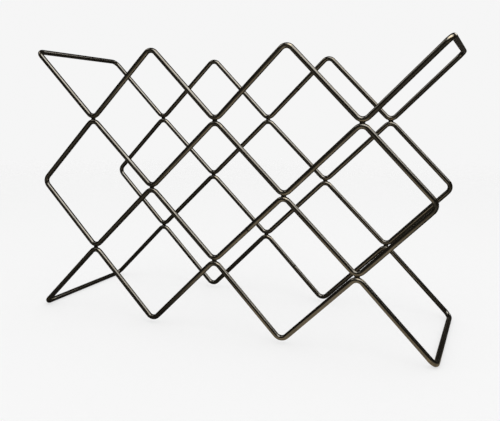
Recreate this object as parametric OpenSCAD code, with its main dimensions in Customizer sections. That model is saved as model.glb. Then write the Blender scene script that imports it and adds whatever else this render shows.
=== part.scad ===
// Countertop wine rack: four closed loops of bent round wire, welded where their bends meet.
// Frame: X along the width, -Y is the front, +Z up. The origin is under the middle of the rack,
// on the surface that the two lower end rods stand on.

/* [Rack] */
// Overall width, over the end rods
rack_w = 450; // [360:1:540]
// Overall height, over the end rods
rack_h = 298; // [240:1:360]
// Overall depth, over the front and rear wires
rack_d = 157; // [110:1:240]

/* [Wire] */
// Diameter of the round wire
wire_d = 5.5; // [4:0.1:7]
// Inside radius of every bend
bend_inside_r = 5; // [4:0.1:8]
// How much the wire swells in a bend, on its radius
bend_swell = 0.05; // [0.05:0.01:0.1]

/* [Lattice] */
// Overall height of the front and rear lattice loops
lattice_h = 143.2; // [120:0.1:172]
// How far the lattice loops stop short of the rack's sides
lattice_inset = 7; // [0:0.5:20]

/* [Welds] */
// Gap between two bends, which the weld bead fills
weld_gap = 0.4; // [0.2:0.05:1]
// Length of a weld bead along the two bends
weld_len = 7; // [5:0.1:9]
// Thickness of a weld bead from front to rear
weld_d = 2.8; // [2:0.1:5]
// Width of the butt weld that closes each loop
seam_len = 1.6; // [0.8:0.1:3]
// How far a butt weld stands proud of the wire all round
seam_proud = 0.25; // [0.1:0.05:0.5]

/* [Hidden] */
$fn = 48;
// The balls that hollow a weld bead are large beside it, so they take a finer mesh.
ball_fn = 200;

wire_colour = [0.24, 0.22, 0.19];
weld_colour = [0.13, 0.12, 0.11];

// Columns are the vertical lines that the bends stand on, 0 at the left end and COLUMNS at the right.
COLUMNS = 6;
// The two faces of the rack, as the sign of Y.
FRONT = -1;
REAR = 1;

bend_d = wire_d + 2 * bend_swell;
bend_r = bend_inside_r + wire_d / 2;
column_w = (rack_w - bend_d) / COLUMNS;
face_y = (rack_d - bend_d) / 2;
mid_z = rack_h / 2;
// A leg runs this far into a bend, which is short enough to stay inside the swollen bend.
leg_overlap = sqrt(bend_r * bend_swell);

// Heights of the wire's centreline above the rack's middle.
rod_z = (rack_h - bend_d) / 2;
lattice_top_z = (lattice_h - bend_d) / 2;
loop_valley_z = lattice_top_z + bend_d + weld_gap;
lattice_mid_z = (bend_d + weld_gap) / 2;

// Distance from the corner where two legs would meet to the bend that rounds it off, where both
// legs rise rise_over_run and the corner itself lies reach beyond the height given by base_rise.
// The slope depends on the distance, so it is found by repeating.
function corner_depth(base_rise, corners, depth = 0, rounds = 8) =
    rounds == 0 ? depth :
    let (slope = (base_rise + corners * depth) / column_w)
    corner_depth(base_rise, corners, bend_r * (sqrt(1 + slope * slope) - 1), rounds - 1);

// A loop leg runs from a rounded valley up to a sharp-cornered rod height: one corner depth.
loop_corner = corner_depth(rod_z - loop_valley_z, 1);
// A lattice leg runs between two rounded bends: two corner depths.
lattice_corner = corner_depth(lattice_top_z - lattice_mid_z, 2);

// X of a column.
function column_x(i) = (i - COLUMNS / 2) * column_w;

// Corner height of the upper loop at a column: ends and even columns are peaks.
function loop_corner_z(i) = i % 2 == 0 ? rod_z : loop_valley_z - loop_corner;

// Corner height of the lattice's upper half at an inner column: odd columns are peaks.
function lattice_corner_z(i) =
    i % 2 == 1 ? lattice_top_z + lattice_corner : lattice_mid_z - lattice_corner;

// The lattice's side bends stop lattice_inset short of the sides: X of their sharp corner.
function side_corner_x(depth = 0, rounds = 8) =
    let (apex = (rack_w - bend_d) / 2 - lattice_inset)
    rounds == 0 ? apex + depth :
    let (slope = (apex + depth - column_x(COLUMNS - 1)) / lattice_corner_z(COLUMNS - 1))
    side_corner_x(bend_r * (sqrt(1 + slope * slope) - 1), rounds - 1);

// Corners of the upper loop, all the way round; sign -1 gives the base loop, its mirror image.
function loop_corners(sign) = concat(
    [for (i = [0:COLUMNS]) [column_x(i), FRONT * face_y, mid_z + sign * loop_corner_z(i)]],
    [for (i = [COLUMNS:-1:0]) [column_x(i), REAR * face_y, mid_z + sign * loop_corner_z(i)]]
);

// Corners of a lattice loop, all the way round: the upper half to the right, the lower half back.
function lattice_corners(face) = concat(
    [[-side_corner_x(), face * face_y, mid_z]],
    [for (i = [1:COLUMNS - 1]) [column_x(i), face * face_y, mid_z + lattice_corner_z(i)]],
    [[side_corner_x(), face * face_y, mid_z]],
    [for (i = [COLUMNS - 1:-1:1]) [column_x(i), face * face_y, mid_z - lattice_corner_z(i)]]
);

// Which leg of each loop holds its butt weld, counted from the first corner.
loop_seam_leg = 9;
lattice_seam_leg = 8;

// ---- Bent wire ----

function unit(v) = v / norm(v);
function wrap(list, i) = list[(i + len(list)) % len(list)];
// Direction of the leg that leaves corner i.
function leg_dir(corners, i) = unit(wrap(corners, i + 1) - wrap(corners, i));
// Angle that the wire turns through at corner i.
function turn_angle(corners, i) = acos(leg_dir(corners, i - 1) * leg_dir(corners, i));
// Distance from corner i to where its bend starts.
function tangent_len(corners, i) = bend_r * tan(turn_angle(corners, i) / 2);
function bend_start(corners, i) =
    wrap(corners, i) - leg_dir(corners, i - 1) * tangent_len(corners, i);
function bend_end(corners, i) =
    wrap(corners, i) + leg_dir(corners, i) * tangent_len(corners, i);
// Side of the bend's centre, seen from the leg that comes in.
function bend_inward(corners, i) =
    cross(bend_axis(corners, i), leg_dir(corners, i - 1));
function bend_axis(corners, i) = unit(cross(leg_dir(corners, i - 1), leg_dir(corners, i)));
function bend_centre(corners, i) =
    bend_start(corners, i) + bend_inward(corners, i) * bend_r;
// Middle of the straight part of leg i.
function leg_middle(corners, i) = (bend_end(corners, i) + bend_start(corners, i + 1)) / 2;
// Rows of a placing matrix from its three axes and its origin.
function placing(x, y, z, at) = [
    [x[0], y[0], z[0], at[0]],
    [x[1], y[1], z[1], at[1]],
    [x[2], y[2], z[2], at[2]],
    [0, 0, 0, 1]
];
// Any direction square to v.
function square_to(v) = unit(abs(v[1]) < 0.9 ? cross(v, [0, 1, 0]) : cross(v, [1, 0, 0]));

// A round bar of diameter d from a to b.
module bar(a, b, d = wire_d) {
    z = unit(b - a);
    x = square_to(z);
    multmatrix(placing(x, cross(z, x), z, a))
        cylinder(h = norm(b - a), d = d);
}

// The rounded bend at corner i.
module bend(corners, i) {
    inward = bend_inward(corners, i);
    multmatrix(placing(-inward, leg_dir(corners, i - 1), bend_axis(corners, i),
        bend_centre(corners, i)))
        rotate_extrude(angle = turn_angle(corners, i))
            translate([bend_r, 0]) circle(d = bend_d);
}

// A straight leg; the one that holds the butt weld stops short of it on both sides.
module leg(corners, i, seam_leg) {
    overlap = leg_dir(corners, i) * leg_overlap;
    from = bend_end(corners, i) - overlap;
    to = bend_start(corners, i + 1) + overlap;
    if (i == seam_leg) {
        half_seam = leg_dir(corners, i) * seam_len / 2;
        bar(from, leg_middle(corners, i) - half_seam);
        bar(leg_middle(corners, i) + half_seam, to);
    } else {
        bar(from, to);
    }
}

// One length of wire, bent round all the corners, with its ends facing each other in seam_leg.
module bent_wire(corners, seam_leg) {
    color(wire_colour)
        union() {
            for (i = [0:len(corners) - 1]) {
                bend(corners, i);
                leg(corners, i, seam_leg);
            }
        }
}

// ---- Welds ----

// The butt weld: a collar that fills the gap between the wire's two ends, and stands proud of the
// wire along its middle third.
module seam(corners, seam_leg) {
    along = leg_dir(corners, seam_leg);
    across = square_to(along);
    half = seam_len / 2;
    wire_r = wire_d / 2;
    color(weld_colour)
        multmatrix(placing(across, cross(along, across), along, leg_middle(corners, seam_leg)))
            rotate_extrude()
                polygon([
                    [0, -half], [wire_r, -half], [wire_r + seam_proud, -half / 3],
                    [wire_r + seam_proud, half / 3], [wire_r, half], [0, half]
                ]);
}

// The bead between the bend at corner i of one wire and corner k of another: a round-ended block
// that reaches into the notch between them. Each side is hollowed by a ball as wide as the bend, so
// that the bead touches both wires along the middle of their bends.
module weld(upper, i, lower, k) {
    above = bend_centre(upper, i);
    below = bend_centre(lower, k);
    color(weld_colour)
        difference() {
            translate((above + below) / 2)
                intersection() {
                    cylinder(h = weld_d, d = weld_len, center = true);
                    cube([2 * weld_len, weld_d, 2 * weld_d], center = true);
                }
            translate(above) sphere(r = bend_r + bend_d / 2, $fn = ball_fn);
            translate(below) sphere(r = bend_r + bend_d / 2, $fn = ball_fn);
        }
}

// Index of a column's corner on the lattice's lower half, and on a loop's rear half.
function lower_half(i) = 2 * COLUMNS - i;
function rear_half(i) = 2 * COLUMNS + 1 - i;
// Index of a column's corner on a loop, for one face.
function loop_index(face, i) = face == FRONT ? i : rear_half(i);

// Weld between the upper loop's valley and the lattice's peak, at an odd column.
module upper_weld(face, column) {
    weld(loop_corners(1), loop_index(face, column), lattice_corners(face), column);
}

// Weld between the lattice's own two halves, at an even column.
module middle_weld(face, column) {
    weld(lattice_corners(face), column, lattice_corners(face), lower_half(column));
}

// Weld between the lattice's lowest bend and the base loop's peak, at an odd column.
module lower_weld(face, column) {
    weld(lattice_corners(face), lower_half(column), loop_corners(-1), loop_index(face, column));
}

// ---- Sub-parts ----

module top_loop_wire() { bent_wire(loop_corners(1), loop_seam_leg); }
module base_loop_wire() { bent_wire(loop_corners(-1), loop_seam_leg); }
module front_lattice_wire() { bent_wire(lattice_corners(FRONT), lattice_seam_leg); }
module rear_lattice_wire() { bent_wire(lattice_corners(REAR), lattice_seam_leg); }
module top_loop_seam() { seam(loop_corners(1), loop_seam_leg); }
module base_loop_seam() { seam(loop_corners(-1), loop_seam_leg); }
module front_lattice_seam() { seam(lattice_corners(FRONT), lattice_seam_leg); }
module rear_lattice_seam() { seam(lattice_corners(REAR), lattice_seam_leg); }

top_loop_wire();
base_loop_wire();
front_lattice_wire();
rear_lattice_wire();
top_loop_seam();
base_loop_seam();
front_lattice_seam();
rear_lattice_seam();
upper_weld(FRONT, 1);  // front_upper_weld_left
upper_weld(FRONT, 3);  // front_upper_weld_centre
upper_weld(FRONT, 5);  // front_upper_weld_right
middle_weld(FRONT, 2);  // front_middle_weld_left
middle_weld(FRONT, 4);  // front_middle_weld_right
lower_weld(FRONT, 1);  // front_lower_weld_left
lower_weld(FRONT, 3);  // front_lower_weld_centre
lower_weld(FRONT, 5);  // front_lower_weld_right
upper_weld(REAR, 1);  // rear_upper_weld_left
upper_weld(REAR, 3);  // rear_upper_weld_centre
upper_weld(REAR, 5);  // rear_upper_weld_right
middle_weld(REAR, 2);  // rear_middle_weld_left
middle_weld(REAR, 4);  // rear_middle_weld_right
lower_weld(REAR, 1);  // rear_lower_weld_left
lower_weld(REAR, 3);  // rear_lower_weld_centre
lower_weld(REAR, 5);  // rear_lower_weld_right
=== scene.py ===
"""Countertop wine rack: four closed loops of bent round wire, welded where their bends meet and
plated dark bronze. Laid out as a Blender add-on; run as a script it builds the whole rack around
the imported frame, with a plain studio floor, soft lights and a camera."""
import math

import bpy
import numpy as np
from bpy.props import FloatProperty, FloatVectorProperty, IntProperty, PointerProperty
from mathutils import Matrix, Vector


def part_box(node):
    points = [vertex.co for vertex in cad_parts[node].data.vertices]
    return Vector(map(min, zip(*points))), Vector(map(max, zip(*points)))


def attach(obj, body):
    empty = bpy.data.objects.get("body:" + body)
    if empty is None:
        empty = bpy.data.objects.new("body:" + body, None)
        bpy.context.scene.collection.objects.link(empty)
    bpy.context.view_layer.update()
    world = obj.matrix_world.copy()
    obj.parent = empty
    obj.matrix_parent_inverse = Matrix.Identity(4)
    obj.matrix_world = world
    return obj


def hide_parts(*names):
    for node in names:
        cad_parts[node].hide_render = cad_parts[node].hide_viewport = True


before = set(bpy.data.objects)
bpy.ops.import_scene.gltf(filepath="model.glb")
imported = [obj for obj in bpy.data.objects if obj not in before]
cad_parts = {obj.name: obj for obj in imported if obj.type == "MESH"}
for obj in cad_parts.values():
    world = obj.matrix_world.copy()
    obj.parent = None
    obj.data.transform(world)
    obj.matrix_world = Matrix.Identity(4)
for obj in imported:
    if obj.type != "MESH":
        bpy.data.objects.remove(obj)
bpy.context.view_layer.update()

bl_info = {
    "name": "Bent Wire Wine Rack",
    "version": (1, 0, 0),
    "blender": (4, 5, 0),
    "location": "3D View > Sidebar > Wine Rack",
    "description": "Bends, welds and plates the wires of a countertop wine rack",
    "category": "Add Mesh",
}

# ---- The rack's places, read from the frame ----

COLUMNS = 6
FRONT, REAR = -1, 1
UPPER, LOWER = 1, -1
LOOP_LOW, LOOP_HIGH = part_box("top_loop_wire")
LATTICE_LOW, LATTICE_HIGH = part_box("front_lattice_wire")
# Thickness of the wire in a bend, and the height that everything is mirrored about.
BEND_D = LATTICE_HIGH.y - LATTICE_LOW.y
MID_Z = (LATTICE_HIGH.z + LATTICE_LOW.z) / 2
COLUMN_W = (LOOP_HIGH.x - LOOP_LOW.x - BEND_D) / COLUMNS
FACE_Y = -(LATTICE_HIGH.y + LATTICE_LOW.y) / 2
# Heights of the wire's centreline above the middle.
ROD_Z = LOOP_HIGH.z - MID_Z - BEND_D / 2
LATTICE_TOP_Z = LATTICE_HIGH.z - MID_Z - BEND_D / 2
LOOP_VALLEY_Z = LOOP_LOW.z - MID_Z + BEND_D / 2
WELD_GAP = LOOP_VALLEY_Z - LATTICE_TOP_Z - BEND_D
LATTICE_MID_Z = (BEND_D + WELD_GAP) / 2
LATTICE_END_X = LATTICE_HIGH.x - BEND_D / 2
# The leg of each loop that holds its butt weld, counted from the first corner.
LOOP_SEAM_LEG = 9
LATTICE_SEAM_LEG = 8

# How far the warmth of a weld reaches along the plating.
WELD_HEAT_REACH = 0.0032
# How deep a bead's edge sits inside the wires, and the same for a butt weld's ends.
BEAD_EMBED = 0.00012
COLLAR_EMBED = 0.00005

FACES = {"front": FRONT, "rear": REAR}
WELD_NAMES = [
    f"{face}_{row}_weld_{place}"
    for face in FACES
    for row, places in (
        ("upper", ("left", "centre", "right")),
        ("middle", ("left", "right")),
        ("lower", ("left", "centre", "right")),
    )
    for place in places
]
SEAM_NAMES = ["top_loop_seam", "base_loop_seam", "front_lattice_seam", "rear_lattice_seam"]


def node_middle(node):
    """Middle of a node's box, as an array."""
    low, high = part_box(node)
    return np.array((low + high) / 2)


# ---- What a user may change ----

class WireSizes(bpy.types.PropertyGroup):
    """Sizes of the bent wire."""
    diameter: FloatProperty(
        name="Wire diameter", description="Diameter of the round wire between its bends",
        default=0.0055, min=0.003, max=0.008, unit="LENGTH")
    bend_inside_r: FloatProperty(
        name="Inside bend radius", description="Radius on the inner side of every bend",
        default=0.005, min=0.003, max=0.01, unit="LENGTH")
    flattening: FloatProperty(
        name="Flattening in bends", description="Share of its radius that a bend loses outside",
        default=0.035, min=0.0, max=0.1, subtype="FACTOR")
    fade: FloatProperty(
        name="Bend fade", description="Length of straight wire over which a bend's shape fades",
        default=0.004, min=0.0, max=0.02, unit="LENGTH")
    around: IntProperty(
        name="Points around", description="Points around the wire's section",
        default=40, min=12, max=96)
    bend_rings: IntProperty(
        name="Rings in a bend", description="Rings along each bend", default=18, min=6, max=48)
    leg_step: FloatProperty(
        name="Leg step", description="Largest distance between rings along a straight leg",
        default=0.004, min=0.001, max=0.02, unit="LENGTH")


class WeldSizes(bpy.types.PropertyGroup):
    """Sizes of the weld beads and the butt welds."""
    half_length: FloatProperty(
        name="Half length", description="Half the bead's length across the two bends",
        default=0.0033, min=0.001, max=0.006, unit="LENGTH")
    half_thickness: FloatProperty(
        name="Half thickness", description="Half the bead's thickness from front to rear",
        default=0.00135, min=0.001, max=0.0025, unit="LENGTH")
    neck: FloatProperty(
        name="Neck", description="Size of the bead halfway between the wires, as a share",
        default=0.80, min=0.4, max=1.0, subtype="FACTOR")
    ripple: FloatProperty(
        name="Ripple", description="Unevenness of the bead, as a share of its size",
        default=0.035, min=0.0, max=0.1, subtype="FACTOR")
    seam_half_width: FloatProperty(
        name="Butt weld half width", description="Half the width of a butt weld along the wire",
        default=0.0010, min=0.0005, max=0.003, unit="LENGTH")
    seam_proud: FloatProperty(
        name="Butt weld height", description="How far a butt weld stands proud of the wire",
        default=0.0002, min=0.0, max=0.0004, unit="LENGTH")


class PlatingFinish(bpy.types.PropertyGroup):
    """Colours and gloss of the plating."""
    plating: FloatVectorProperty(
        name="Plating", description="Dark bronze plating", subtype="COLOR", size=3,
        default=(0.165, 0.157, 0.140), min=0.0, max=1.0)
    rubbed: FloatVectorProperty(
        name="Rubbed plating", description="Warmer metal where handling has polished it",
        subtype="COLOR", size=3, default=(0.42, 0.35, 0.24), min=0.0, max=1.0)
    tarnish: FloatVectorProperty(
        name="Tarnish", description="Darker patches in the plating", subtype="COLOR", size=3,
        default=(0.080, 0.073, 0.060), min=0.0, max=1.0)
    weld: FloatVectorProperty(
        name="Weld metal", description="Plated weld metal", subtype="COLOR", size=3,
        default=(0.055, 0.048, 0.038), min=0.0, max=1.0)
    roughness: FloatProperty(
        name="Roughness", description="Roughness of the plating between its grain lines",
        default=0.15, min=0.05, max=0.9, subtype="FACTOR")


class StudioSettings(bpy.types.PropertyGroup):
    """The floor, the lights and the camera."""
    floor_colour: FloatVectorProperty(
        name="Floor", description="Colour of the floor", subtype="COLOR", size=3,
        default=(0.32, 0.32, 0.32), min=0.0, max=1.0)
    floor_glow: FloatProperty(
        name="Floor glow", description="Light of the floor's own, which softens the shadows",
        default=0.61, min=0.0, max=2.0)
    backdrop: FloatProperty(
        name="Backdrop", description="Brightness of the studio behind the rack", default=0.92,
        min=0.0, max=2.0)
    ambient: FloatProperty(
        name="Ambient light", description="Brightness of the even light from all round",
        default=0.93, min=0.0, max=2.0)
    mirrored: FloatProperty(
        name="Mirrored studio", description="Brightness of the studio as the wires mirror it",
        default=0.04, min=0.0, max=2.0)
    overhead: FloatProperty(
        name="Overhead softboxes", description="Brightness of the two softboxes above the rack",
        default=2.5, min=0.0, max=50.0)
    side: FloatProperty(
        name="Side softbox", description="Brightness of the softbox on the left", default=1.2,
        min=0.0, max=50.0)
    shade: FloatProperty(
        name="Shadow light", description="Brightness of the light that casts the soft shadow",
        default=1.0, min=0.0, max=50.0)
    azimuth: FloatProperty(
        name="Camera azimuth", description="Angle of the camera round the rack, 0 in front",
        default=math.radians(23.68), subtype="ANGLE")
    elevation: FloatProperty(
        name="Camera elevation", description="Angle that the camera looks down by",
        default=math.radians(7.42), subtype="ANGLE")
    roll: FloatProperty(
        name="Camera roll", description="Turn of the camera about its own axis",
        default=math.radians(0.48), subtype="ANGLE")
    distance: FloatProperty(
        name="Camera distance", description="Distance from the camera to the rack's middle",
        default=0.6891, min=0.2, max=5.0, unit="LENGTH")
    focal: FloatProperty(
        name="Focal length", description="Focal length in millimetres on a 36 mm sensor",
        default=43.9, min=15.0, max=200.0)


# ---- Corner points of the wires ----

def bend_drop(rise, corners, bend_r):
    """Height between a sharp corner and the bend that rounds it off: the bend's radius times
    (square root of 1 plus slope squared, minus 1), repeated because each such drop that a leg
    has at its ends makes it steeper."""
    drop = 0.0
    for _ in range(8):
        slope = (rise + corners * drop) / COLUMN_W
        drop = bend_r * (math.hypot(1.0, slope) - 1.0)
    return drop


def column_x(i):
    """X of vertical line i of the rack, counted from its left end."""
    return (i - COLUMNS / 2) * COLUMN_W


def loop_corners(sign, bend_r):
    """Corners of the upper loop (sign 1) or the base loop (-1): along the front, back along the
    rear; even columns are peaks."""
    valley = LOOP_VALLEY_Z - bend_drop(ROD_Z - LOOP_VALLEY_Z, 1, bend_r)
    i = np.arange(COLUMNS + 1)
    z = MID_Z + sign * np.where(i % 2 == 0, ROD_Z, valley)
    front = np.stack([column_x(i), np.full(len(i), FRONT * FACE_Y), z], axis=1)
    rear = front[::-1] * [1, -1, 1]
    return np.concatenate([front, rear])


def lattice_corners(face, bend_r):
    """Corners of a lattice loop: its upper half to the right, its lower half back."""
    drop = bend_drop(LATTICE_TOP_Z - LATTICE_MID_Z, 2, bend_r)
    i = np.arange(1, COLUMNS)
    z = np.where(i % 2 == 1, LATTICE_TOP_Z + drop, LATTICE_MID_Z - drop)
    out = 0.0
    for _ in range(8):
        slope = (LATTICE_END_X + out - column_x(COLUMNS - 1)) / z[-1]
        out = bend_r * (math.hypot(1.0, slope) - 1.0)
    end = LATTICE_END_X + out
    x = np.concatenate([[-end], column_x(i), [end], column_x(i)[::-1]])
    z = np.concatenate([[0.0], z, [0.0], -z[::-1]])
    return np.stack([x, np.full(len(x), face * FACE_Y), MID_Z + z], axis=1)


# ---- Surfaces ----

def unit(v):
    """Vectors scaled to length 1."""
    return v / np.linalg.norm(v, axis=-1, keepdims=True)


def turned(v, axis, angle):
    """Vector v turned about axis by each angle:
    v cos + (axis x v) sin + axis (axis . v) (1 - cos)."""
    c, s = np.cos(angle)[:, None], np.sin(angle)[:, None]
    return v * c + np.cross(axis, v) * s + axis * (axis @ v) * (1 - c)


def smooth_step(t):
    """0 below 0, 1 above 1, and 3t^2 - 2t^3 between."""
    t = np.clip(t, 0.0, 1.0)
    return t * t * (3 - 2 * t)


def wire_stations(corners, seam_leg, sizes):
    """Rings along a closed wire that starts and ends in the middle of seam_leg. A leg is a
    straight run and a bend is an arc: centre minus the inward direction, turned about the bend's
    axis, times its radius. The ring's own side direction is turned with each bend, and what is
    left over after a full round is taken back evenly along the wire. Gives, per ring: its centre,
    its direction, its side direction, the inward direction of the nearest bend, how much of that
    bend it has, and the distance run."""
    corners = np.roll(corners, -(seam_leg + 1), axis=0)
    count = len(corners)
    bend_r = sizes.bend_inside_r + sizes.diameter / 2
    out = unit(np.roll(corners, -1, axis=0) - corners)
    into = np.roll(out, 1, axis=0)
    angle = np.arccos(np.clip(np.sum(into * out, axis=1), -1, 1))
    axis = unit(np.cross(into, out))
    tangent = (bend_r * np.tan(angle / 2))[:, None]
    start, end = corners - into * tangent, corners + out * tangent
    seam_at = (end[-1] + start[0]) / 2
    side = unit(np.cross(into[0], [0.0, 1.0, 0.0]))
    first_side = side
    rows = []

    def add_leg(a, b, direction, side, inward_a, inward_b):
        length = np.linalg.norm(b - a)
        steps = max(4, math.ceil(length / sizes.leg_step))
        t = np.linspace(0, 1, steps + 1)[:-1]
        from_a = 1 - smooth_step(t * length / sizes.fade) if inward_a is not None else 0 * t
        from_b = 1 - smooth_step((1 - t) * length / sizes.fade) if inward_b is not None else 0 * t
        inward = np.where((t < 0.5)[:, None], *[
            w if w is not None else side for w in (inward_a, inward_b)])
        ones = np.ones((len(t), 1))
        rows.append((a + (b - a) * t[:, None], ones * direction, ones * side, inward,
                     np.maximum(from_a, from_b)))

    add_leg(seam_at, start[0], into[0], side, None, np.cross(axis[0], into[0]))
    for i in range(count):
        inward = np.cross(axis[i], into[i])
        centre = start[i] + inward * bend_r
        turn = np.linspace(0, angle[i], sizes.bend_rings + 1)[:-1]
        here = turned(inward, axis[i], turn)
        rows.append((centre - here * bend_r, turned(into[i], axis[i], turn),
                     turned(side, axis[i], turn), here, np.ones(len(turn))))
        side = turned(side, axis[i], angle[i:i + 1])[0]
        inward_out = np.cross(axis[i], out[i])
        if i < count - 1:
            inward_next = np.cross(axis[i + 1], out[i])
            add_leg(end[i], start[i + 1], out[i], side, inward_out, inward_next)
        else:
            add_leg(end[i], seam_at, out[i], side, inward_out, None)
    at, along, sides, inward, bend = (np.concatenate(c) for c in zip(*rows))
    run = np.concatenate([[0], np.cumsum(np.linalg.norm(np.diff(at, axis=0), axis=1))])
    twist = math.atan2(np.cross(first_side, side) @ into[0], first_side @ side)
    total = run[-1] + np.linalg.norm(at[0] - at[-1])
    back = -twist * run / total
    sides = (sides * np.cos(back)[:, None]
             + np.cross(along, sides) * np.sin(back)[:, None])
    return at, along, sides, inward, bend, run


def ring_faces(rings, around):
    """Quads of a grid that closes both ways, facing outwards."""
    i, j = np.meshgrid(np.arange(rings), np.arange(around), indexing="ij")
    i2, j2 = (i + 1) % rings, (j + 1) % around
    quads = np.stack([i * around + j, i * around + j2, i2 * around + j2, i2 * around + j], axis=-1)
    return quads.reshape(-1, 4)


def new_piece(name, points, faces, attributes):
    """A smooth-shaded mesh object at the origin, with its named values at each point. Points are
    rounded to a nanometre, and minus nought made nought, so that each run gives the same mesh."""
    mesh = bpy.data.meshes.new(name)
    mesh.from_pydata((np.round(points, 9) + 0.0).tolist(), [], faces)
    for key, values in attributes.items():
        kind = "FLOAT_VECTOR" if values.ndim == 2 else "FLOAT"
        layer = mesh.attributes.new(key, kind, "POINT")
        field = "vector" if values.ndim == 2 else "value"
        layer.data.foreach_set(field, np.ascontiguousarray(values, dtype=np.float32).ravel())
    mesh.polygons.foreach_set("use_smooth", np.ones(len(mesh.polygons), dtype=bool))
    mesh.validate()
    mesh.update()
    piece = bpy.data.objects.new(name, mesh)
    bpy.context.scene.collection.objects.link(piece)
    return piece


def hand_over(piece, material, node):
    """Gives a piece its material and puts it in the place of its node of the frame."""
    piece.data.materials.append(material)
    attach(piece, "root")
    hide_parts(node)


def weld_heat(points):
    """1 at a weld, fading as a bell curve with distance from the nearest one."""
    places = np.array([node_middle(n) for n in WELD_NAMES + SEAM_NAMES])
    gap = np.min(np.linalg.norm(points[:, None] - places[None], axis=2), axis=1)
    return np.exp(-(gap / WELD_HEAT_REACH) ** 2)


def bent_wire(name, corners, seam_leg, sizes):
    """The wire itself: a ring of points round each station at radius r. In a bend, the outer side
    is drawn in by the flattening, the inner side by a third of it, and the flanks swell by half
    of it, where c is how far a point's direction leans inward:
    r = radius (1 + bend (f / 2 (1 - c^2) - f max(-c, 0)^2 - f / 3 max(c, 0)^2))."""
    at, along, side, inward, bend, run = wire_stations(corners, seam_leg, sizes)
    around = sizes.around
    theta = np.arange(around) / around * 2 * math.pi
    across = np.cross(along, side)
    rays = (side[:, None] * np.cos(theta)[None, :, None]
            + across[:, None] * np.sin(theta)[None, :, None])
    lean = np.sum(rays * inward[:, None], axis=2)
    f, w = sizes.flattening, bend[:, None]
    radius = sizes.diameter / 2
    r = radius * (1 + w * (f / 2 * (1 - lean ** 2) - f * np.maximum(-lean, 0) ** 2
                           - f / 3 * np.maximum(lean, 0) ** 2))
    points = (at[:, None] + rays * r[..., None]).reshape(-1, 3)
    ones = np.ones((len(at), around))
    grain = np.stack([ones * radius * np.cos(theta), ones * radius * np.sin(theta),
                      ones * run[:, None]], axis=-1).reshape(-1, 3)
    faces = ring_faces(len(at), around).tolist()
    return new_piece(name, points, faces, {
        "grain_at": grain,
        "bend_rub": (w * np.maximum(-lean, 0)).reshape(-1),
        "weld_heat": weld_heat(points),
    })


def weld_bead(name, wire, sizes, number):
    """Fused metal between two bends that face each other. Round the bead by angle a and from the
    lower wire to the upper one by t from -1 to 1, the half sizes are their edge values times
    neck + (1 - neck) t^2, uneven by a few waves round the bead, and the height is the height of
    the wire's own surface there, a little inside it, times sin(t pi / 2). The surface of a bend
    at (x, y) lies at gap / 2 + R - square root((bend radius + square root(r^2 - y^2))^2 - x^2)."""
    around, rows = 48, 17
    centre = node_middle(name)
    r, bend_r = BEND_D / 2, wire.bend_inside_r + wire.diameter / 2
    a = np.arange(around) / around * 2 * math.pi
    t = np.linspace(-1, 1, rows)[:, None]
    waves = (np.cos(3 * a + 1.7 * number) + 0.7 * np.cos(5 * a + 2.9 * number)
             + 0.5 * np.cos(8 * a + 4.1 * number))
    lump = 1 + sizes.ripple * (waves[None] * (1 - 0.5 * t ** 2)
                               + 0.6 * np.cos(9 * t + 1.3 * number + np.sin(2 * a)))
    share = (sizes.neck + (1 - sizes.neck) * t ** 2) * lump
    x = sizes.half_length * share * np.cos(a)
    y = sizes.half_thickness * share * np.sin(a)
    xe, ye = sizes.half_length * np.cos(a), sizes.half_thickness * np.sin(a)
    reach = bend_r + np.sqrt(r ** 2 - ye ** 2)
    edge = WELD_GAP / 2 + bend_r + r - np.sqrt(reach ** 2 - xe ** 2) + BEAD_EMBED
    z = edge * np.sin(t * math.pi / 2)
    points = np.stack([x, y, z], axis=-1).reshape(-1, 3) + centre
    inside = WELD_GAP / 2 + 0.4 * r
    poles = centre + np.array([[0, 0, -inside], [0, 0, inside]])
    points = np.concatenate([points, poles])
    i, j = np.meshgrid(np.arange(rows - 1), np.arange(around), indexing="ij")
    j2 = (j + 1) % around
    quads = np.stack([i * around + j, i * around + j2, (i + 1) * around + j2,
                      (i + 1) * around + j], axis=-1).reshape(-1, 4).tolist()
    low, high = rows * around, rows * around + 1
    ring = np.arange(around)
    turn = (ring + 1) % around
    last = (rows - 1) * around
    quads += np.stack([turn, ring, np.full(around, low)], axis=-1).tolist()
    quads += np.stack([last + ring, last + turn, np.full(around, high)], axis=-1).tolist()
    return new_piece(name, points, quads, {"grain_at": points - centre})


def butt_weld(name, corners, seam_leg, wire, sizes):
    """A collar round the wire: along it by u from -1 to 1 and round it by angle a, its radius is
    the wire's radius plus its height times (1 - u^4), with a low ridge of flash in the middle
    that comes and goes round the wire. It closes through the inside of the wire."""
    around, rows = 40, 17
    centre = node_middle(name)
    along = unit(np.roll(corners, -1, axis=0) - corners)[seam_leg]
    side = unit(np.cross(along, [0.0, 1.0, 0.0]))
    across = np.cross(along, side)
    a = np.arange(around) / around * 2 * math.pi
    u = np.linspace(-1, 1, rows)[:, None]
    radius = wire.diameter / 2
    flash = 0.3 * np.exp(-(u / 0.22) ** 2) * (0.6 + 0.4 * np.cos(2 * a + 0.8) * np.cos(5 * a))
    r = radius - COLLAR_EMBED + sizes.seam_proud * ((1 - u ** 4) * 0.75 + flash)
    inner = np.full((rows, around), radius * 0.8)
    r = np.concatenate([r + 0 * a, inner])
    u = np.concatenate([u, u[::-1] * 0.9])
    rays = side * np.cos(a)[:, None] + across * np.sin(a)[:, None]
    points = (centre + along * sizes.seam_half_width * u[..., None]
              + rays[None] * r[..., None]).reshape(-1, 3)
    faces = ring_faces(2 * rows, around).tolist()
    return new_piece(name, points, faces, {"grain_at": points - centre})


# ---- Materials ----

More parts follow.
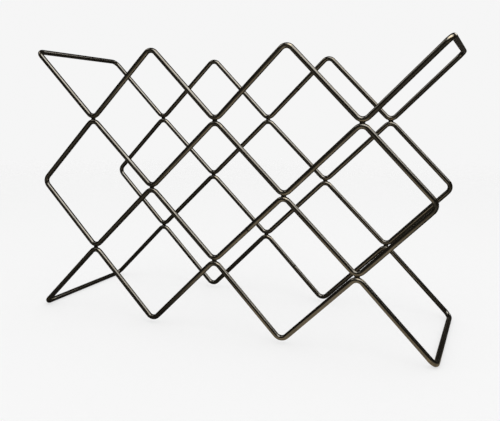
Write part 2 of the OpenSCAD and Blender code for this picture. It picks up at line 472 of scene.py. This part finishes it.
def group_socket(group, name, kind, way, value=None):
    """Adds a named socket to a node group, with its default value if it has one."""
    socket = group.interface.new_socket(name=name, in_out=way, socket_type=f"NodeSocket{kind}")
    if value is not None:
        socket.default_value = value


def node(tree, kind, **settings):
    """A new node with its own settings."""
    made = tree.nodes.new(kind)
    for key, value in settings.items():
        setattr(made, key, value)
    return made


def math_node(tree, operation, a, b):
    """A Math node; a and b are sockets or numbers."""
    made = node(tree, "ShaderNodeMath", operation=operation)
    for place, value in enumerate((a, b)):
        if isinstance(value, (int, float)):
            made.inputs[place].default_value = value
        else:
            tree.links.new(value, made.inputs[place])
    return made.outputs[0]


def ramp(tree, value, low, high):
    """A smooth mask that goes from 0 at low to 1 at high."""
    made = node(tree, "ShaderNodeMapRange", interpolation_type="SMOOTHSTEP")
    tree.links.new(value, made.inputs["Value"])
    made.inputs["From Min"].default_value = low
    made.inputs["From Max"].default_value = high
    return made.outputs["Result"]


def noise(tree, vector, scale, detail, roughness=0.5):
    """Value of a noise texture along a vector."""
    made = node(tree, "ShaderNodeTexNoise")
    tree.links.new(vector, made.inputs["Vector"])
    made.inputs["Scale"].default_value = scale
    made.inputs["Detail"].default_value = detail
    made.inputs["Roughness"].default_value = roughness
    return made.outputs["Fac"]


def blend_colours(tree, mask, a, b):
    """Colour a where the mask is 0 and b where it is 1; each is a socket or a colour."""
    made = node(tree, "ShaderNodeMix", data_type="RGBA")
    tree.links.new(mask, made.inputs["Factor"])
    for socket, value in zip((made.inputs[6], made.inputs[7]), (a, b)):
        if isinstance(value, bpy.types.NodeSocket):
            tree.links.new(value, socket)
        else:
            socket.default_value = (*value, 1.0)
    return made.outputs[2]


def new_group(name, inputs, outputs):
    """An empty shader node group with its input and output nodes."""
    group = bpy.data.node_groups.new(name, "ShaderNodeTree")
    for socket_name, kind, value in inputs:
        group_socket(group, socket_name, kind, "INPUT", value)
    for socket_name, kind in outputs:
        group_socket(group, socket_name, kind, "OUTPUT")
    start, end = group.nodes.new("NodeGroupInput"), group.nodes.new("NodeGroupOutput")
    return group, start.outputs, end.inputs


def drawn_grain_group():
    """Fine lines that the drawing die leaves along the wire: noise stretched 60 times along it."""
    group, given, result = new_group(
        "Drawn grain", [("Along wire", "Vector", None), ("Lines", "Float", 2600.0)],
        [("Height", "Float"), ("Mask", "Float")])
    stretch = node(group, "ShaderNodeVectorMath", operation="MULTIPLY")
    group.links.new(given["Along wire"], stretch.inputs[0])
    stretch.inputs[1].default_value = (1.0, 1.0, 1 / 60)
    lines = node(group, "ShaderNodeTexNoise")
    group.links.new(stretch.outputs[0], lines.inputs["Vector"])
    group.links.new(given["Lines"], lines.inputs["Scale"])
    lines.inputs["Detail"].default_value = 3.0
    group.links.new(lines.outputs["Fac"], result["Height"])
    group.links.new(ramp(group, lines.outputs["Fac"], 0.42, 0.66), result["Mask"])
    return group


def patina_group():
    """Slow clouds of tarnish a few centimetres long and small specks in the plating."""
    group, given, result = new_group(
        "Plating patina", [("At", "Vector", None)], [("Clouds", "Float"), ("Specks", "Float")])
    clouds = noise(group, given["At"], 34.0, 4.0, 0.6)
    specks = noise(group, given["At"], 1500.0, 2.0)
    group.links.new(ramp(group, clouds, 0.40, 0.66), result["Clouds"])
    group.links.new(ramp(group, specks, 0.62, 0.74), result["Specks"])
    return group


def rub_group():
    """Where handling has polished the plating: the outside of bends first, broken up by noise."""
    group, given, result = new_group(
        "Handling rub", [("At", "Vector", None), ("Exposed", "Float", 0.0)], [("Mask", "Float")])
    broken = noise(group, given["At"], 240.0, 5.0, 0.65)
    total = math_node(group, "ADD", broken, math_node(group, "MULTIPLY", given["Exposed"], 0.26))
    group.links.new(ramp(group, total, 0.60, 0.86), result["Mask"])
    return group


def use_group(tree, group, **links):
    """Places a group in a material; each link is the input's name in lower case and its socket."""
    made = node(tree, "ShaderNodeGroup", node_tree=group)
    for key, socket in links.items():
        tree.links.new(socket, made.inputs[key.replace("_", " ").capitalize()])
    return made.outputs


def attribute(tree, name):
    """A named value of the piece's own mesh."""
    return node(tree, "ShaderNodeAttribute", attribute_type="GEOMETRY", attribute_name=name)


def metal_material(name, roughness):
    """A bare material with one Principled shader, metallic throughout."""
    material = bpy.data.materials.new(name)
    material.use_nodes = True
    tree = material.node_tree
    shader = tree.nodes["Principled BSDF"]
    shader.inputs["Metallic"].default_value = 1.0
    shader.inputs["Roughness"].default_value = roughness
    return material, tree, shader


def layered_colour(tree, colour, layers):
    """Lays each layer over a colour. A layer is where it lies, how strongly it covers there and
    its own colour."""
    for mask, strength, over in layers:
        covered = math_node(tree, "MULTIPLY", mask, strength)
        colour = blend_colours(tree, covered, colour, tuple(over))
    return colour


def summed(tree, value, parts):
    """Adds each mask times its amount to a value."""
    for mask, amount in parts:
        value = math_node(tree, "ADD", value, math_node(tree, "MULTIPLY", mask, amount))
    return value


def add_relief(tree, shader, height, strength, distance):
    """Small relief on a shader's surface, from a height between 0 and 1."""
    bump = node(tree, "ShaderNodeBump")
    bump.inputs["Strength"].default_value = strength
    bump.inputs["Distance"].default_value = distance
    tree.links.new(height, bump.inputs["Height"])
    tree.links.new(bump.outputs["Normal"], shader.inputs["Normal"])


def plated_wire_material(finish, groups):
    """Dark bronze plating on drawn wire: tarnish clouds, rubbed bends, darker by the welds, and a
    fine grain along the wire in colour, gloss and relief."""
    material, tree, shader = metal_material("plated_wire", finish.roughness)
    place = node(tree, "ShaderNodeTexCoord").outputs["Object"]
    grain_at = attribute(tree, "grain_at").outputs["Vector"]
    grain = use_group(tree, groups["grain"], along_wire=grain_at)
    patina = use_group(tree, groups["patina"], at=place)
    exposed = attribute(tree, "bend_rub").outputs["Fac"]
    rub = use_group(tree, groups["rub"], at=place, exposed=exposed)
    heat = attribute(tree, "weld_heat").outputs["Fac"]
    colour = layered_colour(tree, tuple(finish.plating), (
        (patina["Clouds"], 0.45, finish.tarnish),
        (grain["Mask"], 0.22, finish.rubbed),
        (rub["Mask"], 0.7, finish.rubbed),
        (patina["Specks"], 0.5, finish.tarnish),
        (heat, 0.3, finish.weld),
    ))
    tree.links.new(colour, shader.inputs["Base Color"])
    rough = summed(tree, finish.roughness - 0.03, (
        (patina["Clouds"], 0.09),
        (grain["Mask"], 0.06),
        (heat, 0.16),
        (rub["Mask"], -0.07),
    ))
    tree.links.new(rough, shader.inputs["Roughness"])
    relief = summed(tree, grain["Height"], ((patina["Specks"], -0.5),))
    add_relief(tree, shader, relief, 0.35, 0.00004)
    return material


def weld_material(finish, groups):
    """Plated weld metal: darker and rougher, with fine solidified ripples and specks."""
    material, tree, shader = metal_material("plated_weld", finish.roughness + 0.16)
    place = node(tree, "ShaderNodeTexCoord").outputs["Object"]
    patina = use_group(tree, groups["patina"], at=place)
    rub = use_group(tree, groups["rub"], at=place)
    ripples = noise(tree, attribute(tree, "grain_at").outputs["Vector"], 1900.0, 3.0)
    colour = layered_colour(tree, tuple(finish.weld), (
        (rub["Mask"], 0.8, finish.plating),
        (patina["Specks"], 0.6, finish.tarnish),
    ))
    tree.links.new(colour, shader.inputs["Base Color"])
    rough = summed(tree, finish.roughness + 0.08, ((ripples, 0.18),))
    tree.links.new(rough, shader.inputs["Roughness"])
    add_relief(tree, shader, ripples, 0.6, 0.0001)
    return material


def rack_material(name):
    """The wire's or the weld's material, made the first time that it is asked for."""
    found = bpy.data.materials.get(name)
    if found:
        return found
    finish = bpy.context.scene.rack_finish
    groups = {
        "grain": bpy.data.node_groups.get("Drawn grain") or drawn_grain_group(),
        "patina": bpy.data.node_groups.get("Plating patina") or patina_group(),
        "rub": bpy.data.node_groups.get("Handling rub") or rub_group(),
    }
    make = {"plated_wire": plated_wire_material, "plated_weld": weld_material}[name]
    return make(finish, groups)


# ---- Stage ----

# Middle of the painted highlight on the floor as the wires mirror it, and the floor's colours in
# the wires, which paint its light and shade: painted shade under the rack, a lighter painted shade
# in front of it and a painted pool of light in the patch.
PAINTED_LIGHT_PATCH = (0.13, -0.19, 0.0)
PAINTED_SHADE_UNDER = (0.06, 0.053, 0.043)
PAINTED_SHADE_FRONT = (0.17, 0.155, 0.125)
PAINTED_LIGHT_IN_PATCH = (0.70, 0.60, 0.45)
# Between which Y the painted shade under the rack gives way to the lighter painted shade in front,
# between which distances the painted pool of light fades in, and between which distances from the
# rack the floor's rim fades in.
FRONT_FROM_Y = (-0.15, -0.26)
PAINTED_LIGHT_REACH = (0.22, 0.12)
RIM_REACH = (2.6, 0.8)
# Tint of the studio as the wires mirror it.
MIRRORED_TINT = (1.0, 0.90, 0.74)
# Each softbox that shows in the wires only: its place and its size.
FRONT_SOFTBOX = ((0.45, -0.55, 1.35), (1.8, 1.05))
REAR_SOFTBOX = ((0.80, 1.10, 1.05), (0.6, 0.6))
LEFT_SOFTBOX = ((-1.05, -0.30, 1.40), (1.0, 0.5))
# The light that casts the rack's soft shadow.
SHADOW_LIGHT = ((0.2, -0.3, 1.4), (0.8, 0.8))
# How far the camera stands to the side of and above the line to the rack's middle, and its shift.
CAMERA_ASIDE, CAMERA_ABOVE = -0.0099, -0.0088
CAMERA_SHIFT = (0.0303, -0.0379)


def studio_floor(colour, glow):
    """A round floor, points at radius r and angle a, whose rim fades into the studio behind it.
    Where the wires mirror it, its colour is painted: painted shade makes it darker than it is and
    darkest under the rack, and a painted pool of light makes it brightest in one soft patch at the
    right front."""
    edge_r, around, rings = 4.0, 96, 24
    r = edge_r * np.linspace(0, 1, rings + 1)[1:] ** 2
    a = np.arange(around) / around * 2 * math.pi
    points = np.stack([r[:, None] * np.cos(a), r[:, None] * np.sin(a), 0 * r[:, None] + 0 * a],
                      axis=-1).reshape(-1, 3)
    points = np.concatenate([points, [[0.0, 0.0, 0.0]]])
    i, j = np.meshgrid(np.arange(rings - 1), np.arange(around), indexing="ij")
    j2 = (j + 1) % around
    quads = np.stack([i * around + j, (i + 1) * around + j, (i + 1) * around + j2,
                      i * around + j2], axis=-1).reshape(-1, 4).tolist()
    ring = np.arange(around)
    quads += np.stack([ring, (ring + 1) % around, np.full(around, len(points) - 1)],
                      axis=-1).tolist()
    floor = new_piece("studio_floor", points, quads, {})
    material = bpy.data.materials.new("studio_floor")
    material.use_nodes = True
    tree = material.node_tree
    shader = tree.nodes["Principled BSDF"]
    shader.inputs["Roughness"].default_value = 0.9
    shader.inputs["Specular IOR Level"].default_value = 0.2
    place = node(tree, "ShaderNodeTexCoord").outputs["Object"]
    away = node(tree, "ShaderNodeVectorMath", operation="LENGTH")
    tree.links.new(place, away.inputs[0])
    parts = node(tree, "ShaderNodeSeparateXYZ")
    tree.links.new(place, parts.inputs[0])
    beside = node(tree, "ShaderNodeVectorMath", operation="DISTANCE")
    tree.links.new(place, beside.inputs[0])
    beside.inputs[1].default_value = PAINTED_LIGHT_PATCH
    # The floor's colour as the wires mirror it is painted light and shade: painted shade under the
    # rack and in front of it, and a painted pool of light in the patch.
    front = blend_colours(tree, ramp(tree, parts.outputs["Y"], *FRONT_FROM_Y),
                          PAINTED_SHADE_UNDER, PAINTED_SHADE_FRONT)
    painted_in_wires = blend_colours(tree, ramp(tree, beside.outputs["Value"], *PAINTED_LIGHT_REACH), front,
                           PAINTED_LIGHT_IN_PATCH)
    mirrored = node(tree, "ShaderNodeLightPath").outputs["Is Glossy Ray"]
    tree.links.new(blend_colours(tree, mirrored, tuple(colour), painted_in_wires),
                   shader.inputs["Base Color"])
    seen = node(tree, "ShaderNodeLightPath").outputs["Is Camera Ray"]
    shader.inputs["Emission Color"].default_value = (1.0, 1.0, 1.0, 1.0)
    tree.links.new(math_node(tree, "MULTIPLY", seen, glow), shader.inputs["Emission Strength"])
    tree.links.new(ramp(tree, away.outputs["Value"], *RIM_REACH), shader.inputs["Alpha"])
    floor.data.materials.append(material)


def soft_box(name, place, glow, gloss_only):
    """A rectangular light that faces the rack's middle and isn't seen by the camera. place is
    where it stands and its size, and glow is how bright its face is; one that is gloss_only
    shows in the wires but doesn't light the floor."""
    at, size = place
    lamp = bpy.data.lights.new(name, "AREA")
    lamp.shape = "RECTANGLE"
    lamp.size, lamp.size_y = size
    lamp.energy = glow * math.pi * size[0] * size[1]
    light = bpy.data.objects.new(name, lamp)
    light.location = at
    facing = Vector((0.0, 0.0, MID_Z)) - Vector(at)
    light.rotation_euler = facing.to_track_quat("-Z", "Y").to_euler()
    light.visible_camera = False
    light.visible_diffuse = not gloss_only
    bpy.context.scene.collection.objects.link(light)


def studio_world(studio):
    """A pale studio that lights evenly; in the wires it shows much darker."""
    world = bpy.data.worlds.new("studio")
    bpy.context.scene.world = world
    world.use_nodes = True
    tree = world.node_tree
    background = tree.nodes["Background"]
    rays = node(tree, "ShaderNodeLightPath").outputs
    seen = math_node(tree, "MULTIPLY", rays["Is Camera Ray"], studio.backdrop - studio.ambient)
    gloss = math_node(tree, "MULTIPLY", rays["Is Glossy Ray"], studio.mirrored - studio.ambient)
    total = math_node(tree, "ADD", math_node(tree, "ADD", seen, gloss), studio.ambient)
    tint = blend_colours(tree, rays["Is Glossy Ray"], (1.0, 1.0, 1.0), MIRRORED_TINT)
    tree.links.new(tint, background.inputs["Color"])
    tree.links.new(total, background.inputs["Strength"])


def studio_camera(studio):
    """The camera stands at its azimuth and elevation round the rack and looks past its middle."""
    a, e, roll = studio.azimuth, studio.elevation, studio.roll
    ahead = Vector((-math.sin(a) * math.cos(e), math.cos(a) * math.cos(e), -math.sin(e)))
    level = Vector((math.cos(a), math.sin(a), 0.0))
    up = level.cross(ahead)
    right = level * math.cos(roll) + up * math.sin(roll)
    up = right.cross(ahead)
    middle = Vector((0.0, 0.0, MID_Z))
    spot = middle - ahead * studio.distance + right * CAMERA_ASIDE + up * CAMERA_ABOVE
    lens = bpy.data.cameras.new("camera")
    lens.sensor_width = 36.0
    lens.lens = studio.focal
    lens.shift_x, lens.shift_y = CAMERA_SHIFT
    lens.clip_start = 0.01
    camera = bpy.data.objects.new("camera", lens)
    turn = Matrix((right, up, -ahead)).transposed().to_4x4()
    camera.matrix_world = Matrix.Translation(spot) @ turn
    bpy.context.scene.collection.objects.link(camera)
    bpy.context.scene.camera = camera


# ---- Operators ----

class RACK_OT_studio(bpy.types.Operator):
    """Sets the floor, the soft lights and the camera"""
    bl_idname = "wine_rack.studio"
    bl_label = "Studio"

    def execute(self, context):
        studio = context.scene.rack_studio
        studio_floor(tuple(studio.floor_colour), studio.floor_glow)
        studio_world(studio)
        soft_box("front_softbox", FRONT_SOFTBOX, studio.overhead, True)
        soft_box("rear_softbox", REAR_SOFTBOX, studio.overhead, True)
        soft_box("left_softbox", LEFT_SOFTBOX, studio.side, True)
        soft_box("shadow_light", SHADOW_LIGHT, studio.shade, False)
        studio_camera(studio)
        context.scene.view_settings.view_transform = "Standard"
        return {"FINISHED"}


class RACK_OT_loops(bpy.types.Operator):
    """Bends the upper loop and the base loop"""
    bl_idname = "wine_rack.loops"
    bl_label = "Top and Base Loops"

    def execute(self, context):
        sizes = context.scene.rack_wire
        bend_r = sizes.bend_inside_r + sizes.diameter / 2
        for name, sign in (("top_loop_wire", UPPER), ("base_loop_wire", LOWER)):
            piece = bent_wire(name + "_plated", loop_corners(sign, bend_r), LOOP_SEAM_LEG, sizes)
            hand_over(piece, rack_material("plated_wire"), name)
        return {"FINISHED"}


class RACK_OT_lattices(bpy.types.Operator):
    """Bends the front and rear lattice loops"""
    bl_idname = "wine_rack.lattices"
    bl_label = "Front and Rear Lattices"

    def execute(self, context):
        sizes = context.scene.rack_wire
        bend_r = sizes.bend_inside_r + sizes.diameter / 2
        for side, face in FACES.items():
            name = f"{side}_lattice_wire"
            corners = lattice_corners(face, bend_r)
            piece = bent_wire(name + "_plated", corners, LATTICE_SEAM_LEG, sizes)
            hand_over(piece, rack_material("plated_wire"), name)
        return {"FINISHED"}


class RACK_OT_weld_beads(bpy.types.Operator):
    """Fuses the sixteen pairs of bends that face each other"""
    bl_idname = "wine_rack.weld_beads"
    bl_label = "Weld Beads"

    def execute(self, context):
        scene = context.scene
        for number, name in enumerate(WELD_NAMES):
            piece = weld_bead(name, scene.rack_wire, scene.rack_weld, number)
            piece.name = name + "_fused"
            hand_over(piece, rack_material("plated_weld"), name)
        return {"FINISHED"}


class RACK_OT_butt_welds(bpy.types.Operator):
    """Closes each of the four loops with a butt weld"""
    bl_idname = "wine_rack.butt_welds"
    bl_label = "Butt Welds"

    def execute(self, context):
        scene = context.scene
        bend_r = scene.rack_wire.bend_inside_r + scene.rack_wire.diameter / 2
        loops = {
            "top_loop_seam": (loop_corners(UPPER, bend_r), LOOP_SEAM_LEG),
            "base_loop_seam": (loop_corners(LOWER, bend_r), LOOP_SEAM_LEG),
            "front_lattice_seam": (lattice_corners(FRONT, bend_r), LATTICE_SEAM_LEG),
            "rear_lattice_seam": (lattice_corners(REAR, bend_r), LATTICE_SEAM_LEG),
        }
        for name, (corners, seam_leg) in loops.items():
            piece = butt_weld(name, corners, seam_leg, scene.rack_wire, scene.rack_weld)
            piece.name = name + "_collar"
            hand_over(piece, rack_material("plated_weld"), name)
        return {"FINISHED"}


STEPS = (RACK_OT_studio, RACK_OT_loops, RACK_OT_lattices, RACK_OT_weld_beads, RACK_OT_butt_welds)


class RACK_PT_panel(bpy.types.Panel):
    """Lists the steps that build the rack, and its sizes"""
    bl_idname = "RACK_PT_panel"
    bl_label = "Wine Rack"
    bl_space_type = "VIEW_3D"
    bl_region_type = "UI"
    bl_category = "Wine Rack"

    def draw(self, context):
        for step in STEPS:
            self.layout.operator(step.bl_idname)
        for group in (context.scene.rack_wire, context.scene.rack_weld,
                      context.scene.rack_finish, context.scene.rack_studio):
            column = self.layout.column()
            for key in group.__annotations__:
                column.prop(group, key)


GROUPS = {
    "rack_wire": WireSizes,
    "rack_weld": WeldSizes,
    "rack_finish": PlatingFinish,
    "rack_studio": StudioSettings,
}


def register():
    """Makes the rack's steps, sizes and panel known to Blender."""
    for made in (*GROUPS.values(), *STEPS, RACK_PT_panel):
        bpy.utils.register_class(made)
    for key, made in GROUPS.items():
        setattr(bpy.types.Scene, key, PointerProperty(type=made))


def unregister():
    """Takes them away again."""
    for key in GROUPS:
        delattr(bpy.types.Scene, key)
    for made in reversed((*GROUPS.values(), *STEPS, RACK_PT_panel)):
        bpy.utils.unregister_class(made)


def main():
    """Registers the add-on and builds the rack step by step."""
    register()
    bpy.ops.wine_rack.studio()
    bpy.ops.wine_rack.loops()
    bpy.ops.wine_rack.lattices()
    bpy.ops.wine_rack.weld_beads()
    bpy.ops.wine_rack.butt_welds()


if __name__ == "__main__":
    main()
